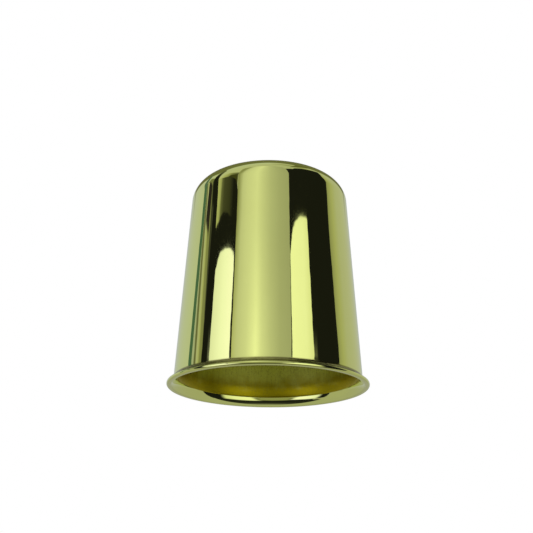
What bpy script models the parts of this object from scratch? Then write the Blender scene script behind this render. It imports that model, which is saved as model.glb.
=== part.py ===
"""A closed-ended brass guitar slide: a drawn outer shell with a flared lip, lined by a thin finger sleeve.

Both pieces are turned about Z. The mouth faces down, and the lip's flat rests on Z = 0.
"""

import math

import bpy

MM = 0.001

# Outer shell: a round wall that narrows towards the closed crown.
HEIGHT = 28.0 * MM
MOUTH_DIAMETER = 24.0 * MM  # outside of the straight wall, carried on down to the lip's plane
CROWN_DIAMETER = 20.3 * MM  # outside of the straight wall, carried on up to the crown's plane
SHOULDER_WIDTH = 3.4 * MM
SHOULDER_HEIGHT = 3.1 * MM
SHELL_WALL = 0.6 * MM

# Lip: outside, the wall bends sharply outwards at its root and ends in a rounded edge with a flat under it.
LIP_OVERHANG = 0.8 * MM  # how far the lip stands out beyond the mouth
LIP_TURN = math.radians(64)  # how far the lip leans out from straight down
ROOT_RADIUS = 0.35 * MM
EDGE_RADIUS = 0.25 * MM
EDGE_BREAK = 0.08 * MM

# Bell: inside, the wall curves outwards more gently.
BELL_TOP = 1.4 * MM
BELL_RADIUS = 1.0 * MM  # for the outer skin, and each inner skin adds its inset

# Finger sleeve: a thin tube pressed up into the shell, belled where the shell is.
SLEEVE_WALL = 0.3 * MM
SLEEVE_CLEARANCE = 0.1 * MM
SLEEVE_SETBACK = 1.1 * MM  # from the lip's plane up to the sleeve's lower end
SLEEVE_TOP_GAP = 0.4 * MM  # from the sleeve's upper end to where the shoulder starts

# Roundness of the turned shapes.
SEGMENTS = 64
SHOULDER_STEPS = 9
ROOT_STEPS = 4
EDGE_STEPS = 6
BELL_STEPS = 6
MERGE_DISTANCE = 0.001 * MM

# What follows from the sizes above.
LIP_DIAMETER = MOUTH_DIAMETER + 2 * LIP_OVERHANG
TAPER = math.atan((MOUTH_DIAMETER - CROWN_DIAMETER) / 2 / HEIGHT)
SLEEVE_INSET = SHELL_WALL + SLEEVE_CLEARANCE


def clear_scene():
    for old in list(bpy.data.objects):
        bpy.data.objects.remove(old)


def wall_radius(height, inset):
    """Radius of the straight wall at a height, on the skin that lies inset inside the outer one."""
    return MOUTH_DIAMETER / 2 - height * math.tan(TAPER) - inset / math.cos(TAPER)


def bell_centre():
    """Centre of the bell's arc, which every skin of the wall turns about."""
    radius = wall_radius(BELL_TOP, 0) + BELL_RADIUS * math.cos(TAPER)
    return radius, BELL_TOP + BELL_RADIUS * math.sin(TAPER)


def shoulder(inset):
    """Points down the shoulder's quarter ellipse, from the crown's flat to the straight wall."""
    across = SHOULDER_WIDTH - inset
    up = SHOULDER_HEIGHT - inset
    level = HEIGHT - SHOULDER_HEIGHT
    start = math.atan(up / across * math.tan(TAPER))
    middle = wall_radius(level + up * math.sin(start), inset) - across * math.cos(start)
    points = []
    for step in range(SHOULDER_STEPS, -1, -1):
        turn = start + (math.pi / 2 - start) * step / SHOULDER_STEPS
        points.append((middle + across * math.cos(turn), level + up * math.sin(turn)))
    return points


def bell(inset, end_turn):
    """Points down the bell, from the straight wall to where its skin has turned to end_turn."""
    radius, level = bell_centre()
    reach = BELL_RADIUS + inset
    points = []
    for step in range(BELL_STEPS + 1):
        turn = TAPER + (end_turn - TAPER) * step / BELL_STEPS
        points.append((radius - reach * math.cos(turn), level - reach * math.sin(turn)))
    return points


def turn_at(height, inset):
    """How far a skin of the bell has turned when it comes down to a height."""
    return math.asin((bell_centre()[1] - height) / (BELL_RADIUS + inset))


def lip_edge():
    """Points round the lip's outer edge, from the end of its slope to the flat under it."""
    middle = LIP_DIAMETER / 2 - EDGE_RADIUS
    points = []
    for step in range(EDGE_STEPS + 1):
        turn = LIP_TURN - (LIP_TURN + math.pi / 2) * step / EDGE_STEPS
        points.append((middle + EDGE_RADIUS * math.cos(turn), EDGE_RADIUS * (1 + math.sin(turn))))
    return points


def lip_root():
    """Points round the sharp bend between the straight wall and the lip's slope."""
    end_radius, end_level = lip_edge()[0]
    # The slope, carried on up and inwards from the edge, meets the wall after this length.
    length = (end_radius - wall_radius(end_level, 0)) / (
        math.sin(LIP_TURN) - math.cos(LIP_TURN) * math.tan(TAPER)
    )
    corner = end_level + length * math.cos(LIP_TURN)
    top = corner + ROOT_RADIUS * math.tan((LIP_TURN - TAPER) / 2) * math.cos(TAPER)
    radius = wall_radius(top, 0) + ROOT_RADIUS * math.cos(TAPER)
    level = top + ROOT_RADIUS * math.sin(TAPER)
    points = []
    for step in range(ROOT_STEPS + 1):
        turn = TAPER + (LIP_TURN - TAPER) * step / ROOT_STEPS
        points.append((radius - ROOT_RADIUS * math.cos(turn), level - ROOT_RADIUS * math.sin(turn)))
    return points


def shell_section():
    """Half section of the shell, from the crown's centre down the outside and back up the inside."""
    outside = shoulder(0) + lip_root() + lip_edge()
    inside_bell = bell(SHELL_WALL, turn_at(EDGE_BREAK, SHELL_WALL))
    flat_starts = bell(SHELL_WALL, turn_at(0, SHELL_WALL))[-1][0] + EDGE_BREAK
    inside = shoulder(SHELL_WALL) + inside_bell
    top = [(0, HEIGHT)]
    underside = [(0, HEIGHT - SHELL_WALL)]
    return top + outside + [(flat_starts, 0)] + inside[::-1] + underside


def sleeve_section():
    """Closed section of the sleeve, down its outside and back up its inside."""
    top_level = shoulder(SHELL_WALL)[-1][1] - SLEEVE_TOP_GAP
    sides = []
    for inset in (SLEEVE_INSET, SLEEVE_INSET + SLEEVE_WALL):
        top = [(wall_radius(top_level, inset), top_level)]
        sides.append(top + bell(inset, turn_at(SLEEVE_SETBACK, inset)))
    outside, inside = sides
    return outside + inside[::-1]


def make_material(name, colour, roughness):
    material = bpy.data.materials.new(name)
    material.use_nodes = True
    shader = material.node_tree.nodes["Principled BSDF"]
    shader.inputs["Base Color"].default_value = (*colour, 1)
    shader.inputs["Metallic"].default_value = 1
    shader.inputs["Roughness"].default_value = roughness
    return material


def turned_piece(name, section, closed, material, collection):
    """An object that turns a half section about Z. A closed section makes a ring."""
    corners = [(radius, 0, height) for radius, height in section]
    edges = [(i, i + 1) for i in range(len(corners) - 1)]
    if closed:
        edges.append((len(corners) - 1, 0))
    mesh = bpy.data.meshes.new(name)
    mesh.from_pydata(corners, edges, [])
    mesh.materials.append(material)
    piece = bpy.data.objects.new(name, mesh)
    collection.objects.link(piece)
    screw = piece.modifiers.new("Turn", "SCREW")
    screw.axis = "Z"
    screw.angle = math.tau
    screw.steps = SEGMENTS
    screw.render_steps = SEGMENTS
    screw.use_merge_vertices = True
    screw.merge_threshold = MERGE_DISTANCE
    screw.use_smooth_shade = True
    return piece


def main():
    clear_scene()
    collection = bpy.data.collections.new("guitar_slide")
    bpy.context.scene.collection.children.link(collection)
    polished = make_material("polished_brass", (0.80, 0.74, 0.30), 0.06)
    satin = make_material("satin_brass", (0.52, 0.46, 0.12), 0.38)
    shell = turned_piece("slide_shell", shell_section(), False, polished, collection)
    sleeve = turned_piece("finger_sleeve", sleeve_section(), True, satin, collection)
    sleeve.parent = shell


main()
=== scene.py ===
# %% [markdown]
# # A polished brass guitar slide
#
# A guitar slide is a short metal cup. It fits over a finger and glides along the strings. This
# one is two pieces of drawn sheet brass: a polished outer shell with a closed crown and a flared
# lip, and a thin satin sleeve pressed inside it. A mirror has no look of its own: it shows the
# room. So this lesson spends as much care on the studio round the slide as on the metal.
#
# The CAD model is loaded first as a fixed frame, and its boxes give the slide's main sizes.

import math

import bpy
from mathutils import Matrix, Vector


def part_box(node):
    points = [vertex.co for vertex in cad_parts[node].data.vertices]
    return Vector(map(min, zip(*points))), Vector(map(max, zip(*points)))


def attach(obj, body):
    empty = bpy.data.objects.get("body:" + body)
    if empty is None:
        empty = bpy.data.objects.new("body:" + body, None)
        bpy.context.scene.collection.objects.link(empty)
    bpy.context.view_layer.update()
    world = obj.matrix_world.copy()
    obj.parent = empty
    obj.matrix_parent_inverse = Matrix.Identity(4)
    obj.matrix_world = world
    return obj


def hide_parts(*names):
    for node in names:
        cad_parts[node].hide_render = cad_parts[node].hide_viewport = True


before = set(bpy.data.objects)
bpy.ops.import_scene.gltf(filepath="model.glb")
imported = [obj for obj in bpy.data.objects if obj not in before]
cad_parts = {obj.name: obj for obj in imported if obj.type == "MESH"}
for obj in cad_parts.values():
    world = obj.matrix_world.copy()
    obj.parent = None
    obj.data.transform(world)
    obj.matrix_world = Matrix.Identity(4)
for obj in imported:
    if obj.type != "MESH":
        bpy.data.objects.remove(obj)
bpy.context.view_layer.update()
MM = 0.001

# %% [markdown]
# ## The camera
#
# The camera comes before the shapes, because every later choice is judged through it. It stands
# about 13 cm away and 26 mm below the lip, so that it looks up into the mouth. Its axes are built
# as a matrix from three directions. That is easier to check than three turned angles, and the
# slight roll of a hand-held camera is one more turn about the view axis.

# %% Place the camera
CAMERA_DISTANCE = 128.0 * MM
CAMERA_RISE = math.radians(19.37)
CAMERA_ROLL = math.radians(0.46)
CAMERA_LENS = 65.6
AIM = Vector((-0.32 * MM, 0, 16.26 * MM))


def make_camera():
    """A camera that looks along +Y and upwards, at AIM."""
    forward = Vector((0, math.cos(CAMERA_RISE), math.sin(CAMERA_RISE)))
    side = Vector((1, 0, 0))
    up = side.cross(forward)
    rolled_side = math.cos(CAMERA_ROLL) * side + math.sin(CAMERA_ROLL) * up
    rolled_up = math.cos(CAMERA_ROLL) * up - math.sin(CAMERA_ROLL) * side
    data = bpy.data.cameras.new("slide_camera")
    data.sensor_width = 36
    data.lens = CAMERA_LENS
    data.clip_start = 1 * MM
    camera = bpy.data.objects.new("slide_camera", data)
    bpy.context.scene.collection.objects.link(camera)
    camera.matrix_world = Matrix.Translation(AIM - CAMERA_DISTANCE * forward) @ Matrix(
        (rolled_side, rolled_up, -forward)
    ).transposed().to_4x4()
    bpy.context.scene.camera = camera
    return camera


camera = make_camera()
print("camera at, in mm:", [round(value / MM, 1) for value in camera.location])

# %% [markdown]
# ## The half section
#
# Both pieces are round, so one half section gives each whole shape. It could be drawn by hand,
# point by point, but a mirror finish shows every kink. Here each stretch is a formula: a straight
# tapered wall, a quarter ellipse for the shoulder, a tight arc and a short slope for the lip's
# root, and a small arc for its edge. Each stretch starts in the direction in which the last one
# ended.
#
# A skin is a copy of the outer surface that lies a given inset inside it. The inside of the shell
# and both sides of the sleeve are skins, so the pieces nest by themselves.

# %% The slide's own sizes
shell_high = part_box("slide_shell")[1]
sleeve_low, sleeve_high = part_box("finger_sleeve")
HEIGHT = shell_high.z
LIP_RADIUS = shell_high.x
MOUTH_RADIUS = 12.0 * MM
CROWN_RADIUS = 10.15 * MM
SHOULDER_WIDTH = 3.4 * MM
SHOULDER_HEIGHT = 3.1 * MM
SHELL_WALL = 0.6 * MM
LIP_TURN = math.radians(64)
ROOT_RADIUS = 0.35 * MM
EDGE_RADIUS = 0.25 * MM
INNER_EDGE_RADIUS = 0.09 * MM
BELL_TOP = 1.4 * MM
BELL_RADIUS = 1.0 * MM
TAPER = math.atan((MOUTH_RADIUS - CROWN_RADIUS) / HEIGHT)


def wall_radius(height, inset):
    """Radius of the straight wall at a height, on the skin that lies inset inside the outer one."""
    return MOUTH_RADIUS - height * math.tan(TAPER) - inset / math.cos(TAPER)


BELL_CENTRE = Vector((
    wall_radius(BELL_TOP, 0) + BELL_RADIUS * math.cos(TAPER),
    BELL_TOP + BELL_RADIUS * math.sin(TAPER),
))
print("taper in degrees:", round(math.degrees(TAPER), 2))
print("lip radius and height in mm:", round(LIP_RADIUS / MM, 2), round(HEIGHT / MM, 2))

# %% Stretches of the section, each a list of (radius, height)
CROWN_STEPS = 6
SHOULDER_STEPS = 40
ROOT_STEPS = 16
EDGE_STEPS = 16
BELL_STEPS = 24
WALL_STEPS = 30


def arc(centre, across, up, start, end, steps):
    """Points along an ellipse, from the angle start to the angle end."""
    points = []
    for step in range(steps + 1):
        turn = start + (end - start) * step / steps
        points.append(Vector((
            centre[0] + across * math.cos(turn),
            centre[1] + up * math.sin(turn),
        )))
    return points


def straight(start, end, steps):
    """Points between two others, closer together near both ends, without those two."""
    inner = []
    for step in range(1, steps):
        share = (1 - math.cos(math.pi * step / steps)) / 2
        inner.append(start.lerp(end, share))
    return inner


def joined(stretches, steps):
    """One list of points from several stretches, with straight runs of points between them."""
    points = list(stretches[0])
    for stretch in stretches[1:]:
        points += straight(points[-1], stretch[0], steps) + stretch
    return points


def shoulder(inset):
    """Down the shoulder, from the crown's flat to the straight wall."""
    across = SHOULDER_WIDTH - inset
    up = SHOULDER_HEIGHT - inset
    level = HEIGHT - SHOULDER_HEIGHT
    start = math.atan(up / across * math.tan(TAPER))
    middle = wall_radius(level + up * math.sin(start), inset) - across * math.cos(start)
    return arc((middle, level), across, up, math.pi / 2, start, SHOULDER_STEPS)


def bell_turn(height, inset):
    """How far a skin of the bell has turned when it comes down to a height."""
    return math.asin((BELL_CENTRE.y - height) / (BELL_RADIUS + inset))


def bell(inset, end_turn):
    """Down the bell, from the straight wall to where its skin has turned to end_turn."""
    reach = BELL_RADIUS + inset
    return arc(BELL_CENTRE, reach, reach, math.pi + TAPER, math.pi + end_turn, BELL_STEPS)


# %% [markdown]
# ## Turning the section
#
# A Screw modifier would turn the section too, and the CAD model uses one. Here the points and
# faces are computed directly, because a mirror needs many rings and an even spread of quads. A
# point on the axis becomes a single vertex with a fan round it.

# %% A lathe for sections
AROUND = 256
AXIS_RADIUS = 0.001 * MM  # a point nearer to the axis than this lies on it


def turned_piece(name, section, closed):
    """A mesh object that turns a section about Z. A closed section makes a ring."""
    mesh = bpy.data.meshes.new(name)
    rings = []
    vertices = []
    for radius, height in section:
        on_axis = radius < AXIS_RADIUS
        ring = []
        for step in range(1 if on_axis else AROUND):
            turn = math.tau * step / AROUND
            ring.append(len(vertices))
            vertices.append((radius * math.cos(turn), radius * math.sin(turn), height))
        rings.append(ring)
    pairs = list(zip(rings[:-1], rings[1:]))
    if closed:
        pairs.append((rings[-1], rings[0]))
    faces = []
    for upper, lower in pairs:
        for step in range(AROUND):
            following = (step + 1) % AROUND
            corners = [upper[step % len(upper)], lower[step % len(lower)]]
            corners += [lower[following % len(lower)], upper[following % len(upper)]]
            faces.append(list(dict.fromkeys(corners)))
    mesh.from_pydata(vertices, [], faces)
    mesh.shade_smooth()
    piece = bpy.data.objects.new(name, mesh)
    bpy.context.scene.collection.objects.link(piece)
    return piece


# %% [markdown]
# ## The outer shell
#
# The real shell is one cup, drawn from sheet. Its lip is curled outwards, trimmed level and its
# sharp edges are rounded over by the buffing wheel. The section runs from the crown's centre down
# the outside, round the lip and back up the inside.

# %% The lip's stretches
def lip_edge():
    """Round the lip's outer edge, from the end of its slope to the flat under it."""
    middle = LIP_RADIUS - EDGE_RADIUS
    return arc((middle, EDGE_RADIUS), EDGE_RADIUS, EDGE_RADIUS, LIP_TURN, -math.pi / 2, EDGE_STEPS)


def lip_root():
    """Round the sharp bend between the straight wall and the lip's slope."""
    edge_radius, edge_level = lip_edge()[0]
    # The slope, carried on up and inwards from the edge, meets the wall after this length.
    length = (edge_radius - wall_radius(edge_level, 0)) / (
        math.sin(LIP_TURN) - math.cos(LIP_TURN) * math.tan(TAPER)
    )
    corner = edge_level + length * math.cos(LIP_TURN)
    top = corner + ROOT_RADIUS * math.tan((LIP_TURN - TAPER) / 2) * math.cos(TAPER)
    centre = (
        wall_radius(top, 0) + ROOT_RADIUS * math.cos(TAPER),
        top + ROOT_RADIUS * math.sin(TAPER),
    )
    return arc(centre, ROOT_RADIUS, ROOT_RADIUS, math.pi + TAPER, math.pi + LIP_TURN, ROOT_STEPS)


def inner_edge():
    """Round the inner edge of the lip's flat, up to the bell, and the bell's turn there."""
    turn = bell_turn(INNER_EDGE_RADIUS, SHELL_WALL - INNER_EDGE_RADIUS)
    middle = BELL_CENTRE.x - (BELL_RADIUS + SHELL_WALL - INNER_EDGE_RADIUS) * math.cos(turn)
    edge = arc(
        (middle, INNER_EDGE_RADIUS), INNER_EDGE_RADIUS, INNER_EDGE_RADIUS,
        -math.pi / 2, turn - math.pi, EDGE_STEPS,
    )
    return edge, turn


# %% Build the polished shell
def shell_section():
    """Half section of the shell, from the crown's centre down the outside and up the inside."""
    edge, turn = inner_edge()
    outside = joined([[Vector((0, HEIGHT))], shoulder(0)], CROWN_STEPS)
    outside = joined([outside, lip_root(), lip_edge(), edge], WALL_STEPS // 3)
    ceiling = Vector((0, HEIGHT - SHELL_WALL))
    inside = joined([[ceiling], shoulder(SHELL_WALL)], CROWN_STEPS)
    inside = joined([inside, bell(SHELL_WALL, turn)], WALL_STEPS)
    return outside + inside[::-1][1:]


polished_shell = turned_piece("polished_shell", shell_section(), closed=False)
print("shell faces:", len(polished_shell.data.polygons))

# %% [markdown]
# ## The finger sleeve
#
# The sleeve is a thin tube, pushed up until its belled end sits in the shell's bell. Only its
# inner face can be seen. Its end is pressed down to a thin edge, so satin meets polish without a
# step. The CAD model keeps a small gap behind the sleeve. Here its back comes almost up to the
# shell, as in the real press fit.

# %% Build the satin sleeve
SLEEVE_FACE = 1.0 * MM
SLEEVE_BACK = 0.61 * MM
SLEEVE_FEATHER = 0.63 * MM
FEATHER_HEIGHT = 1.5 * MM


def sleeve_face():
    """Down the sleeve's face. Its last stretch leans back until the sleeve's end is a thin edge."""
    top, bottom = sleeve_high.z, sleeve_low.z
    points = [Vector((wall_radius(top, SLEEVE_FACE), top))]
    start = Vector((wall_radius(bottom + FEATHER_HEIGHT, SLEEVE_FACE), bottom + FEATHER_HEIGHT))
    points += straight(points[0], start, WALL_STEPS) + [start]
    for step in range(1, BELL_STEPS + 1):
        share = step / BELL_STEPS
        height = bottom + FEATHER_HEIGHT * (1 - share)
        inset = SLEEVE_FACE + (SLEEVE_FEATHER - SLEEVE_FACE) * share * share
        turn = max(TAPER, bell_turn(min(height, BELL_TOP), inset))
        if height > BELL_TOP:
            points.append(Vector((wall_radius(height, inset), height)))
        else:
            points.append(Vector((BELL_CENTRE.x - (BELL_RADIUS + inset) * math.cos(turn), height)))
    return points


def sleeve_section():
    """Closed section of the sleeve, down its back, round its thin end and up its face."""
    top, bottom = sleeve_high.z, sleeve_low.z
    back_bell = bell(SLEEVE_BACK, bell_turn(bottom, SLEEVE_BACK))
    back = joined([[Vector((wall_radius(top, SLEEVE_BACK), top))], back_bell], WALL_STEPS)
    return back + sleeve_face()[::-1]


satin_sleeve = turned_piece("satin_sleeve", sleeve_section(), closed=True)
print("sleeve faces:", len(satin_sleeve.data.polygons))

# %% [markdown]
# ## Node helpers
#
# Every material and the studio are node trees. Two helpers keep them short: one adds a node and
# fills or links its inputs by name, the other starts a node group with named sockets.

# %% Helpers for node trees
def add(tree, kind, settings=None, **inputs):
    """Adds a node. Its inputs are given by name or number, as values or as sockets to link from."""
    node = tree.nodes.new(kind)
    for name, value in (settings or {}).items():
        setattr(node, name, value)
    for name, value in inputs.items():
        key = int(name[1:]) if name[0] == "_" else name.replace("_", " ")
        socket = node.inputs[key]
        if isinstance(value, bpy.types.NodeSocket):
            tree.links.new(value, socket)
        else:
            socket.default_value = value
    return node


def maths(tree, operation, *inputs, clamp=False):
    """The output of a Math node."""
    named = {f"_{number}": value for number, value in enumerate(inputs)}
    settings = {"operation": operation, "use_clamp": clamp}
    return add(tree, "ShaderNodeMath", settings, **named).outputs[0]


def vector_maths(tree, operation, *inputs, output="Vector"):
    """An output of a Vector Math node."""
    named = {f"_{number}": value for number, value in enumerate(inputs)}
    return add(tree, "ShaderNodeVectorMath", {"operation": operation}, **named).outputs[output]


def blend_colours(tree, share, first, second):
    """The colour between two others."""
    node = add(tree, "ShaderNodeMix", {"data_type": "RGBA"})
    for number, value in ((0, share), (6, first), (7, second)):
        if isinstance(value, bpy.types.NodeSocket):
            tree.links.new(value, node.inputs[number])
        else:
            node.inputs[number].default_value = value
    return node.outputs[2]


SOCKETS = {"float": "NodeSocketFloat", "vector": "NodeSocketVector", "colour": "NodeSocketColor"}


def new_group(name, inputs, outputs):
    """A shader node group, its input node and its output node. A socket is a name and a kind."""
    group = bpy.data.node_groups.new(name, "ShaderNodeTree")
    for socket, kind in inputs:
        group.interface.new_socket(socket, in_out="INPUT", socket_type=SOCKETS[kind])
    for socket, kind in outputs:
        group.interface.new_socket(socket, in_out="OUTPUT", socket_type=SOCKETS[kind])
    return group, group.nodes.new("NodeGroupInput"), group.nodes.new("NodeGroupOutput")


def use_group(tree, group, **inputs):
    """Places a node group in a tree."""
    return add(tree, "ShaderNodeGroup", {"node_tree": group}, **inputs)


# %% [markdown]
# ## The studio
#
# The slide was made to be seen in a light tent: pale walls behind it, two tall bright panels
# beside the camera, a softer middle panel, and black cloth between them. Real cards with lamps
# could stand round the slide, but a mirror needs them noiseless and exact. So the studio is
# painted on the world, direction by direction.
#
# A card is a patch with straight sides. Each straight side is a plane through the slide, and the
# share of a direction that lies on the plane's inner side says how deep inside the card it is.
# The smooth minimum over all sides gives a patch with rounded corners, and a soft step over that
# depth gives a blurred rim.

# %% Node groups that paint a card
def card_side_group():
    """Takes one more side into account for how deep inside the card a direction lies."""
    group, given, result = new_group(
        "card_side",
        [("Direction", "vector"), ("Side", "vector"), ("Depth", "float"), ("Rounding", "float")],
        [("Depth", "float")],
    )
    inside = vector_maths(
        group, "DOT_PRODUCT", given.outputs["Direction"], given.outputs["Side"], output="Value"
    )
    depth = maths(group, "SMOOTH_MIN", given.outputs["Depth"], inside, given.outputs["Rounding"])
    group.links.new(depth, result.inputs["Depth"])
    return group


def card_paint_group():
    """Mixes the card's colour over what is behind it, by the depth."""
    group, given, result = new_group(
        "card_paint",
        [("Depth", "float"), ("Softness", "float"), ("Colour", "colour"), ("Behind", "colour")],
        [("Colour", "colour")],
    )
    low = maths(group, "MULTIPLY", given.outputs["Softness"], -0.5)
    high = maths(group, "MULTIPLY", given.outputs["Softness"], 0.5)
    step = add(
        group, "ShaderNodeMapRange", {"interpolation_type": "SMOOTHSTEP"},
        Value=given.outputs["Depth"], From_Min=low, From_Max=high,
    )
    mixed = blend_colours(group, step.outputs[0], given.outputs["Behind"], given.outputs["Colour"])
    group.links.new(mixed, result.inputs["Colour"])
    return group


card_side = card_side_group()
card_paint = card_paint_group()


# %% Directions and cards
NO_SIDE_YET = 10.0  # deeper than any direction can lie inside a side


def direction(azimuth, elevation):
    """A unit vector, from degrees. Azimuth 0 is the camera's side, and it grows to the right."""
    turn, rise = math.radians(azimuth), math.radians(elevation)
    level = math.cos(rise)
    return Vector((math.sin(turn) * level, -math.cos(turn) * level, math.sin(rise)))


def paint_card(tree, looking, behind, corners, colour, softness=0.15, rounding=0.4):
    """Paints a card over what is behind it. Its corners are (azimuth, elevation), in order."""
    points = [direction(*corner) for corner in corners]
    middle = sum(points, Vector())
    depth = NO_SIDE_YET
    for start, end in zip(points, points[1:] + points[:1]):
        side = start.cross(end).normalized()
        if side.dot(middle) < 0:
            side.negate()
        node = use_group(
            tree, card_side,
            Direction=looking, Side=side, Depth=depth, Rounding=math.radians(rounding),
        )
        depth = node.outputs["Depth"]
    return use_group(
        tree, card_paint,
        Depth=depth, Softness=math.radians(softness), Colour=colour, Behind=behind,
    ).outputs["Colour"]


def ramp(tree, value, low, high, stops):
    """Colours along a range of a value, in the value's own units."""
    node = tree.nodes.new("ShaderNodeValToRGB")
    share = maths(tree, "MULTIPLY_ADD", value, 1 / (high - low), -low / (high - low))
    tree.links.new(share, node.inputs[0])
    elements = node.color_ramp.elements
    for place, colour in stops:
        elements.new((place - low) / (high - low)).color = (*colour, 1)
    elements.remove(elements[0])
    elements.remove(elements[-1])
    return node.outputs[0]


def grey(level, tint=(1, 1, 1)):
    """A grey, or a tinted grey, as three channels."""
    return tuple(level * share for share in tint)


# %% Paint the studio
COOL = (0.96, 1.0, 1.12)
OLIVE = (1.0, 1.0, 0.72)
TEAL = (0.07, 0.135, 0.13, 1)
DIM_ROOM = (0.15, 0.15, 0.08, 1)
HIGH_TEAL = (0.09, 0.145, 0.16, 1)
OLIVE_CLOTH = (0.12, 0.12, 0.05, 1)
BLACK_CLOTH = (0.010, 0.010, 0.012, 1)
CORNER_CLOTH = (0.05, 0.05, 0.02, 1)
FOLD_TOP = (0.17, 0.18, 0.12, 1)
HEM = (0.025, 0.02, 0.03, 1)
WALL_FOOT = (0.39, 0.39, 0.38, 1)
SEAM_FOOT = (0.40, 0.40, 0.38, 1)
PANEL_FOOT = (0.28, 0.28, 0.2, 1)
WHITE = (1, 1, 1, 1)
# Elevations in degrees: where two changes start and end, and where the tent's floor ends.
PANEL_CHANGE = (21, 29)
WALL_DIMMING = (6, -12)
FLOOR_EDGE = -44
# The folds lean by this much azimuth for each degree that they rise above this elevation.
SEAM_LEAN = 0.6
SEAM_LEVEL = 21


def make_studio():
    """Paints the light tent on the world. Returns how many nodes it took."""
    world = bpy.data.worlds.new("light_tent")
    world.use_nodes = True
    tree = world.node_tree
    tree.nodes.clear()
    looking = add(tree, "ShaderNodeTexCoord").outputs["Generated"]
    axes = add(tree, "ShaderNodeSeparateXYZ", Vector=looking)
    front = maths(tree, "MULTIPLY", axes.outputs["Y"], -1.0)
    azimuth = maths(tree, "DEGREES", maths(tree, "ARCTAN2", axes.outputs["X"], front))
    elevation = maths(tree, "DEGREES", maths(tree, "ARCSINE", axes.outputs["Z"]))
    # The folds at the tent's left seam lean back as they rise.
    level_seam = maths(tree, "ADD", azimuth, -SEAM_LEAN * SEAM_LEVEL)
    seam = maths(tree, "MULTIPLY_ADD", elevation, SEAM_LEAN, level_seam)

    walls = ramp(tree, azimuth, -180, 180, [
        (-179, grey(0.52, COOL)), (-125, grey(0.53, COOL)), (-60, grey(0.50)), (60, grey(0.44)),
        (94, grey(0.27, OLIVE)), (99, grey(0.34, OLIVE)), (105, grey(0.41, OLIVE)),
        (116, grey(0.45)), (132, grey(0.47)), (179, grey(0.52, COOL)),
    ])
    folds = ramp(tree, seam, -115, -80, [
        (-110, grey(0.42, COOL)), (-105.5, grey(0.42, COOL)), (-104.3, grey(0.14, OLIVE)),
        (-101.6, grey(0.15, OLIVE)), (-100, grey(0.47)), (-96.5, grey(0.42, OLIVE)),
        (-94.5, grey(0.24, OLIVE)), (-90.5, grey(0.22, OLIVE)), (-89.5, grey(0.05)),
    ])
    low_middle = ramp(tree, azimuth, -50, 50, [
        (-47, grey(0.50, OLIVE)), (-40, grey(0.58)), (-28, grey(0.71)), (-21, grey(0.86)),
        (-16, grey(1.0)), (-13, grey(0.92)), (-9, grey(0.77)), (2, grey(0.58)), (14, grey(0.44)),
        (27, grey(0.395)),
    ])
    high_middle = ramp(tree, azimuth, -50, 50, [
        (-47, grey(0.27, OLIVE)), (-40, grey(0.57)), (-34, grey(0.64)), (-18, grey(0.74)),
        (-10, grey(0.63)), (2, grey(0.49)), (14, grey(0.41)), (27, grey(0.37)),
    ])
    start, end = PANEL_CHANGE
    rise = add(tree, "ShaderNodeMapRange", Value=elevation, From_Min=start, From_Max=end).outputs[0]
    middle = blend_colours(tree, rise, low_middle, high_middle)
    left_light = ramp(tree, azimuth, -80, -45, [
        (-77, grey(0.82, (1, 1, 1.25))), (-62, grey(1.0, (1, 1, 1.3))),
        (-52, grey(1.08, (1, 0.97, 1.33))),
    ])
    right_light = ramp(tree, azimuth, 25, 60, [
        (30, grey(0.98)), (48, grey(0.93)), (57, grey(0.80, (1, 1, 0.9))),
    ])
    ceiling = ramp(tree, azimuth, -90, -45, [
        (-82, grey(0.46, OLIVE)), (-78, grey(0.38, OLIVE)), (-75.5, grey(0.13, OLIVE)),
        (-71, grey(0.06, OLIVE)), (-61, grey(0.04, OLIVE)), (-57, grey(0.02)), (-55, grey(0.011)),
    ])
    high_left = ramp(tree, azimuth, -95, -45, [
        (-84, grey(0.52)), (-74, grey(0.42, OLIVE)), (-64, grey(0.22, OLIVE)),
        (-52, grey(0.12, OLIVE)),
    ])
    drape = ramp(tree, elevation, 25, 60, [
        (28, grey(0.011)), (41, grey(0.013)), (47, grey(0.04, OLIVE)), (55, grey(0.12, OLIVE)),
    ])
    floor = ramp(tree, elevation, -90, FLOOR_EDGE, [
        (-89, grey(0.24)), (-82, grey(0.16)), (-75, grey(0.06)), (-68, grey(0.02)),
        (-46, grey(0.015)),
    ])

    # The walls are dimmer low down, where less light from the roof falls.
    start, end = WALL_DIMMING
    sink = add(tree, "ShaderNodeMapRange", Value=elevation, From_Min=start, From_Max=end).outputs[0]
    walls = blend_colours(tree, sink, walls, WALL_FOOT)
    # The floor in front of the slide, seen past the cloth.
    below = maths(tree, "MULTIPLY_ADD", elevation, -math.pi / 180, math.radians(FLOOR_EDGE))
    in_front = use_group(
        tree, card_side, Direction=looking, Side=(0, -1, 0), Depth=below, Rounding=0.02
    )
    painted = use_group(
        tree, card_paint,
        Depth=in_front.outputs["Depth"], Softness=0.03, Colour=floor, Behind=walls,
    ).outputs["Colour"]

    def card(colour, *corners, **edges):
        nonlocal painted
        painted = paint_card(tree, looking, painted, corners, colour, **edges)

    # The dim end of the room behind the slide, and the dim roof.
    card(DIM_ROOM, (146, 25), (-146, 25), (-112, 50), (-120, 68), (120, 68), (130, 52), softness=4)
    card(
        OLIVE_CLOTH, (28, 57), (60, 62), (110, 63), (142, 57), (128, 70), (60, 69.5), (30, 63.5),
        softness=1.5,
    )
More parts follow.
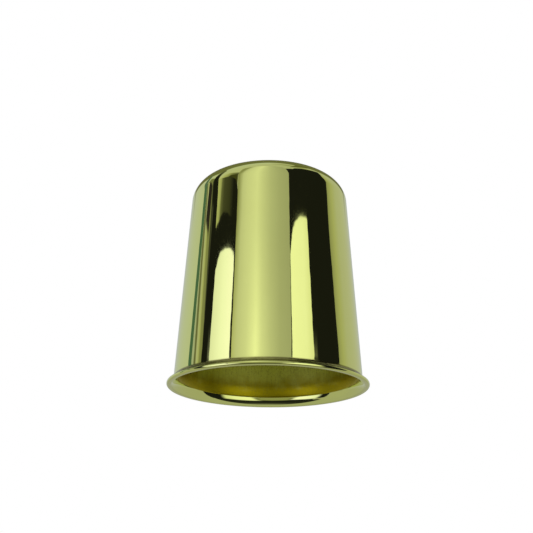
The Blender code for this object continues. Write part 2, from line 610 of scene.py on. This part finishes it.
    # Black cloth under and on both sides of the camera, and the black ceiling on the right.
    card(BLACK_CLOTH, (-70, -20), (0, -20), (0, -53), (-72, -46))
    card(BLACK_CLOTH, (70, -20), (0, -20), (0, -53), (72, -46))
    card(BLACK_CLOTH, (27, -44), (92, -43), (96.4, 19), (92.6, 30), (28, 31))
    card(BLACK_CLOTH, (28, 26), (93.8, 26), (104, 46), (60, 60.5), (28, 57.5), softness=0.8)
    card(
        BLACK_CLOTH, (84, 38), (103.5, 45), (142, 58), (130, 67), (60, 64), (36, 59.5),
        softness=0.8,
    )
    card(high_left, (-90, 28), (-49.3, 29), (-49.3, 42), (-74, 47), (-88, 40), softness=2)
    card(CORNER_CLOTH, (-68, 29), (-49.3, 29), (-49.3, 35.5), (-62, 37), softness=2)
    card(BLACK_CLOTH, (-89, -34), (-40, -38), (-46.5, 30.6), (-90.6, 29))
    # The folds of the tent's left seam, its hem, and their shadow on the ceiling.
    card(TEAL, (-114.3, -30), (-107.8, -30), (-107.8, 29.5), (-114.3, 29))
    card(HIGH_TEAL, (-116, 28), (-107.6, 28.5), (-119, 43), (-134, 47), softness=1.2)
    card(folds, (-107.8, -30), (-89, -34), (-89.4, 29), (-96, 38), (-107.5, 36))
    card(FOLD_TOP, (-107, 30), (-92, 30), (-96, 38), (-111, 40), softness=1.5)
    card(HEM, (-103.5, 26.3), (-95.8, 25.9), (-95.2, 29), (-102, 30.4), softness=0.6)
    card(SEAM_FOOT, (-128, -4), (-92, -4), (-88, -40), (-128, -40), softness=9)
    card(drape, (-92.6, 28), (-82.6, 28), (-95, 50), (-104, 57), (-119, 57), softness=0.6)
    card(ceiling, (-81.5, 27.2), (-47, 28.2), (-47, 30.6), (-84, 31))
    # The lights.
    card(
        left_light, (-76.9, 15), (-76.9, 24.9), (-72, 26.0), (-48.7, 26.9), (-48.7, 15),
        rounding=0.3,
    )
    card(left_light, (-76.9, 18), (-48.7, 18), (-33, -36), (-73, -37), softness=8)
    card(right_light, (29.8, 15), (29.0, 27.4), (33, 28.8), (55.4, 28.8), (58.6, 15), rounding=0.3)
    card(right_light, (29.8, 18), (59, 18), (66, -39), (13, -44), softness=9)
    # The middle panel, and what is under it.
    card(middle, (-44.5, 12), (27.6, 12), (36, 71), (-12, 74), (-66, 68), rounding=4)
    card(PANEL_FOOT, (-33, 15), (16, 15), (14, -40), (-32, -40), softness=9)

    is_camera = add(tree, "ShaderNodeLightPath").outputs["Is Camera Ray"]
    shown = blend_colours(tree, is_camera, painted, WHITE)
    background = add(tree, "ShaderNodeBackground", Color=shown)
    add(tree, "ShaderNodeOutputWorld", Surface=background.outputs[0])
    bpy.context.scene.world = world
    return len(tree.nodes)


print("studio nodes:", make_studio())
bpy.context.scene.view_settings.view_transform = "Standard"

# %% [markdown]
# ## Effects that both finishes share
#
# Both pieces are the same brass. Drawing, buffing and handling leave two kinds of mark on it:
# fine noise that is stretched along or round the cup, and bands that follow its height, such as a
# dull root and a rubbed end; the root's band also carries painted shade. An image texture could
# hold them, but noise in the object's own space needs no unwrapping, and it stays sharp at any
# distance. Each effect is a node group, so that both materials share it with their own values.

# %% Node group: stretched noise
def stretched_noise_group():
    """Noise from about -1 to 1, with one size across the cup's axis and one along it."""
    group, given, result = new_group(
        "stretched_noise",
        [("Position", "vector"), ("Across", "float"), ("Along", "float")],
        [("Value", "float")],
    )
    across = maths(group, "DIVIDE", 1.0, given.outputs["Across"])
    along = maths(group, "DIVIDE", 1.0, given.outputs["Along"])
    scale = add(group, "ShaderNodeCombineXYZ", X=across, Y=across, Z=along).outputs[0]
    place = vector_maths(group, "MULTIPLY", given.outputs["Position"], scale)
    noise = add(group, "ShaderNodeTexNoise", Vector=place, Scale=1.0, Detail=3.0, Roughness=0.55)
    value = maths(group, "MULTIPLY_ADD", noise.outputs["Fac"], 2.0, -1.0)
    group.links.new(value, result.inputs["Value"])
    return group


stretched_noise = stretched_noise_group()


# %% Node group: a band round the cup
def height_band_group():
    """A mask that is 1 inside a band of heights and fades to 0 on both sides of it."""
    group, given, result = new_group(
        "height_band",
        [("Height", "float"), ("Middle", "float"), ("Half Width", "float"), ("Softness", "float")],
        [("Mask", "float")],
    )
    offset = maths(group, "SUBTRACT", given.outputs["Height"], given.outputs["Middle"])
    away = maths(group, "ABSOLUTE", offset)
    edge = maths(group, "ADD", given.outputs["Half Width"], given.outputs["Softness"])
    step = add(
        group, "ShaderNodeMapRange", {"interpolation_type": "SMOOTHSTEP"},
        Value=away, From_Min=edge, From_Max=given.outputs["Half Width"],
    )
    group.links.new(step.outputs[0], result.inputs["Mask"])
    return group


height_band = height_band_group()
print("effects:", [group.name for group in bpy.data.node_groups])

# %% [markdown]
# ## Starting a metal
#
# A metal's colour is the colour of its reflections. The colour of buffed brass is measured from the
# mirror image of a white card: green-yellow, with little blue. Metallic is 1 on the shader itself,
# because it is the same all over.

# %% Helpers for a metal
MICROMETRE = 0.001 * MM


def start_metal(name):
    """A material, its tree, its metal shader and the position in millimetres."""
    material = bpy.data.materials.new(name)
    material.use_nodes = True
    tree = material.node_tree
    shader = tree.nodes["Principled BSDF"]
    shader.inputs["Metallic"].default_value = 1
    place = add(tree, "ShaderNodeTexCoord").outputs["Object"]
    place = vector_maths(tree, "SCALE", place)
    tree.nodes[-1].inputs["Scale"].default_value = 1 / MM
    return material, tree, shader, place


def noise(tree, place, across, along):
    """Stretched noise from about -1 to 1. Both sizes are in millimetres."""
    node = use_group(tree, stretched_noise, Position=place, Across=across, Along=along)
    return node.outputs["Value"]


def finish_metal(tree, shader, colour, roughness, relief):
    """Links a colour, a roughness and a relief in micrometres to the shader."""
    tree.links.new(colour, shader.inputs["Base Color"])
    tree.links.new(roughness, shader.inputs["Roughness"])
    bump = add(tree, "ShaderNodeBump", Height=relief, Distance=MICROMETRE, Strength=1.0)
    tree.links.new(bump.outputs[0], shader.inputs["Normal"])


# %% [markdown]
# ## Polished brass
#
# The shell is buffed until it is a mirror, but never a perfect one. Drawing leaves slow waves in
# the wall, the buffing wheel leaves hairlines that run round it, and handling leaves a thin haze.
# The wheel doesn't reach the root of the lip, so a line of dull polish stays there, and its brown
# is painted shade in that crease. The flat under the lip is scuffed.

# %% Make the polished brass
BRASS = (0.88, 0.95, 0.32, 1)
HAZED_BRASS = (0.80, 0.85, 0.27, 1)
# Painted shade for the crease at the lip's root.
ROOT_PAINTED_SHADE = (0.22, 0.20, 0.06, 1)
SCUFFED_BRASS = (0.62, 0.65, 0.20, 1)
# In millimetres. A band is the height of its middle, its half width and its softness.
# The root's band is dull polish that also carries painted shade.
ROOT_DULL_AND_SHADE_BAND = (0.74, 0.26, 0.18)
FOOT_BAND = (0.0, 0.05, 0.08)
OUTSIDE_FROM = (11.78, 11.88)
# Sizes of the marks, across the cup's axis and along it.
HAZE = (3.5, 5.0)
HAIRLINE = (2.5, 0.035)
WAVE = (3.0, 7.0)
ROOT_GAPS = (0.6, 0.3)
SCUFF_GRAIN = (0.25, 0.25)
POLISHED_ROUGHNESS = 0.02


def band_mask(tree, height, band):
    """A height band's mask."""
    middle, half_width, softness = band
    return use_group(
        tree, height_band, Height=height, Middle=middle, Half_Width=half_width, Softness=softness
    ).outputs["Mask"]


def make_polished_brass():
    """The shell's finish."""
    material, tree, shader, place = start_metal("polished_brass")
    axes = add(tree, "ShaderNodeSeparateXYZ", Vector=place)
    height = axes.outputs["Z"]
    flat_place = vector_maths(tree, "MULTIPLY", place, (1.0, 1.0, 0.0))
    radius = vector_maths(tree, "LENGTH", flat_place, output="Value")

    haze = maths(tree, "MULTIPLY_ADD", noise(tree, place, *HAZE), 0.9, 0.35, clamp=True)
    hairline = noise(tree, place, *HAIRLINE)
    wave = noise(tree, place, *WAVE)

    # The dull line and its painted shade lie on the outside only. The bell's smaller radius leaves
    # it out.
    band = band_mask(tree, height, ROOT_DULL_AND_SHADE_BAND)
    start, end = OUTSIDE_FROM
    outside = add(tree, "ShaderNodeMapRange", Value=radius, From_Min=start, From_Max=end).outputs[0]
    ragged = maths(tree, "MULTIPLY_ADD", noise(tree, place, *ROOT_GAPS), 0.25, 0.85, clamp=True)
    root = maths(tree, "MULTIPLY", maths(tree, "MULTIPLY", band, outside), ragged)

    colour = blend_colours(tree, maths(tree, "MULTIPLY", haze, 0.35), BRASS, HAZED_BRASS)
    # Brown painted shade in the crease at the lip's root.
    colour = blend_colours(tree, root, colour, ROOT_PAINTED_SHADE)
    # The flat that the slide stands on is scuffed.
    foot = band_mask(tree, height, FOOT_BAND)
    worn = maths(tree, "MULTIPLY_ADD", noise(tree, place, *SCUFF_GRAIN), 0.4, 0.45)
    scuff = maths(tree, "MULTIPLY", foot, worn)
    colour = blend_colours(tree, scuff, colour, SCUFFED_BRASS)
    roughness = maths(tree, "MULTIPLY_ADD", haze, 0.018, POLISHED_ROUGHNESS)
    roughness = maths(tree, "MULTIPLY_ADD", hairline, 0.006, roughness)
    roughness = maths(tree, "MULTIPLY_ADD", root, 0.2, roughness)
    roughness = maths(tree, "MULTIPLY_ADD", scuff, 0.15, roughness)
    relief = maths(tree, "MULTIPLY_ADD", hairline, 0.004, maths(tree, "MULTIPLY", wave, 4.0))
    finish_metal(tree, shader, colour, roughness, relief)
    return material


polished_brass = make_polished_brass()
polished_shell.data.materials.append(polished_brass)
print("polished brass nodes:", len(polished_brass.node_tree.nodes))

# %% [markdown]
# ## Satin brass
#
# The sleeve is left as it was drawn. Long fine streaks run from its mouth to its upper end, a
# grain of tiny pits catches the light, and hands have turned it a deeper yellow in patches. Its
# thin end, which is pressed down on the shell, is burnished by that and shines more.

# %% Make the satin brass
SATIN_BRASS = (0.85, 0.88, 0.20, 1)
DEEP_BRASS = (0.46, 0.38, 0.005, 1)
STREAK_BROWN = (0.30, 0.27, 0.02, 1)
# In millimetres: the burnished band at the sleeve's end, and the heights between which it deepens.
END_BAND = (1.1, 0.1, 0.3)
CLEAN_FROM = 4.6
DEEP_BELOW = 1.5
# Sizes of the marks, across the cup's axis and along it.
STREAK = (0.13, 6.0)
BROAD_STREAK = (0.7, 12.0)
GRAIN = (0.15, 0.18)
PATCH = (1.8, 1.6)
SATIN_ROUGHNESS = 0.43


def make_satin_brass():
    """The sleeve's finish."""
    material, tree, shader, place = start_metal("satin_brass")
    height = add(tree, "ShaderNodeSeparateXYZ", Vector=place).outputs["Z"]
    streak = noise(tree, place, *STREAK)
    broad_streak = noise(tree, place, *BROAD_STREAK)
    grain = noise(tree, place, *GRAIN)
    patch = noise(tree, place, *PATCH)

    # Hands darken the first few millimetres most, with a ragged edge.
    edge = maths(tree, "MULTIPLY_ADD", patch, 1.8, maths(tree, "MULTIPLY_ADD", grain, 0.9, height))
    mouth = add(
        tree, "ShaderNodeMapRange", {"interpolation_type": "SMOOTHSTEP"},
        Value=edge, From_Min=CLEAN_FROM, From_Max=DEEP_BELOW,
    ).outputs[0]
    deep = maths(tree, "MULTIPLY_ADD", mouth, 1.1, maths(tree, "MULTIPLY", patch, 0.25), clamp=True)
    colour = blend_colours(tree, deep, SATIN_BRASS, DEEP_BRASS)
    marks = maths(tree, "MULTIPLY_ADD", streak, 0.5, maths(tree, "MULTIPLY", grain, 0.85))
    marks = maths(tree, "MULTIPLY_ADD", broad_streak, 0.25, marks)
    dark_marks = maths(tree, "MULTIPLY_ADD", marks, 0.9, 0.12, clamp=True)
    colour = blend_colours(tree, dark_marks, colour, STREAK_BROWN)

    burnished = band_mask(tree, height, END_BAND)
    roughness = maths(tree, "MULTIPLY_ADD", marks, 0.08, SATIN_ROUGHNESS)
    roughness = maths(tree, "MULTIPLY_ADD", burnished, -0.06, roughness)
    relief = maths(tree, "MULTIPLY_ADD", streak, 2.0, maths(tree, "MULTIPLY", grain, 2.4))
    finish_metal(tree, shader, colour, roughness, relief)
    return material


satin_brass = make_satin_brass()
satin_sleeve.data.materials.append(satin_brass)
print("satin brass nodes:", len(satin_brass.node_tree.nodes))

# %% [markdown]
# ## Floor and lamp
#
# The slide stands on its lip on a pale table. The camera looks up from below the table's level,
# so the table is one-sided: its underside lets every ray through. It fades out into the white
# background. It stays out of the brass's reflections too, because the studio already holds the
# floor that the mirror shows. One soft lamp overhead lights the table and gives the slide its
# contact shadow, and the brass doesn't show that lamp either.

# %% Build the floor
FLOOR_RADIUS = 260.0 * MM
FLOOR_DROP = 0.02 * MM
FLOOR_PALE = (0.86, 0.86, 0.85, 1)
FLOOR_SPECKLE = (0.90, 0.90, 0.89, 1)
FLOOR_FADE_START = 0.2 * FLOOR_RADIUS
FLOOR_FADE_END = 0.95 * FLOOR_RADIUS


def make_floor_material():
    """A pale speckled surface, seen only from above, that fades out with distance."""
    material = bpy.data.materials.new("pale_table")
    material.use_nodes = True
    tree = material.node_tree
    shader = tree.nodes["Principled BSDF"]
    shader.inputs["Roughness"].default_value = 0.9
    shader.inputs["Specular IOR Level"].default_value = 0.1
    place = add(tree, "ShaderNodeTexCoord").outputs["Object"]
    grain = add(tree, "ShaderNodeTexNoise", Vector=place, Scale=900.0, Detail=2.0).outputs["Fac"]
    speckle = blend_colours(tree, grain, FLOOR_PALE, FLOOR_SPECKLE)
    tree.links.new(speckle, shader.inputs["Base Color"])
    away = vector_maths(tree, "LENGTH", place, output="Value")
    fade = add(
        tree, "ShaderNodeMapRange", {"interpolation_type": "SMOOTHSTEP"},
        Value=away, From_Min=FLOOR_FADE_END, From_Max=FLOOR_FADE_START,
    ).outputs[0]
    upper = maths(tree, "SUBTRACT", 1.0, add(tree, "ShaderNodeNewGeometry").outputs["Backfacing"])
    tree.links.new(maths(tree, "MULTIPLY", fade, upper), shader.inputs["Alpha"])
    return material


def make_floor():
    """The table, which no ray from the brass can see."""
    rim, middle = Vector((FLOOR_RADIUS, -FLOOR_DROP)), Vector((0, -FLOOR_DROP))
    floor = turned_piece("pale_table", [middle, rim], closed=False)
    floor.data.materials.append(make_floor_material())
    floor.visible_diffuse = False
    floor.visible_glossy = False
    floor.visible_shadow = False
    return floor


floor = make_floor()
print("floor normal up:", floor.data.polygons[0].normal.z > 0)

# %% Hang the lamp
LAMP_HEIGHT = 0.32
LAMP_OFFSET = 0.05
LAMP_SIZE = 0.22
LAMP_WATTS = 1.05


def make_lamp():
    """One soft lamp above the slide, to its right and towards the camera."""
    data = bpy.data.lights.new("soft_lamp", "AREA")
    data.shape = "DISK"
    data.size = LAMP_SIZE
    data.energy = LAMP_WATTS
    lamp = bpy.data.objects.new("soft_lamp", data)
    bpy.context.scene.collection.objects.link(lamp)
    lamp.location = (LAMP_OFFSET, -LAMP_OFFSET, LAMP_HEIGHT)
    lamp.rotation_euler = (-lamp.location).to_track_quat("-Z", "Y").to_euler()
    lamp.visible_glossy = False
    lamp.visible_camera = False
    return lamp


lamp = make_lamp()
print("lamp watts:", lamp.data.energy)

# %% [markdown]
# ## Tie the pieces to the frame
# Each fine piece stands for one node of the CAD model and rides on its only body, and that node is
# hidden. Then both boxes
# are written down, so that they can be compared.

# %% Ride and replace
for piece, node, slot in (
    (polished_shell, "slide_shell", "polished_brass"),
    (satin_sleeve, "finger_sleeve", "satin_brass"),
):
    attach(piece, "root")
    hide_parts(node)

bpy.context.view_layer.update()
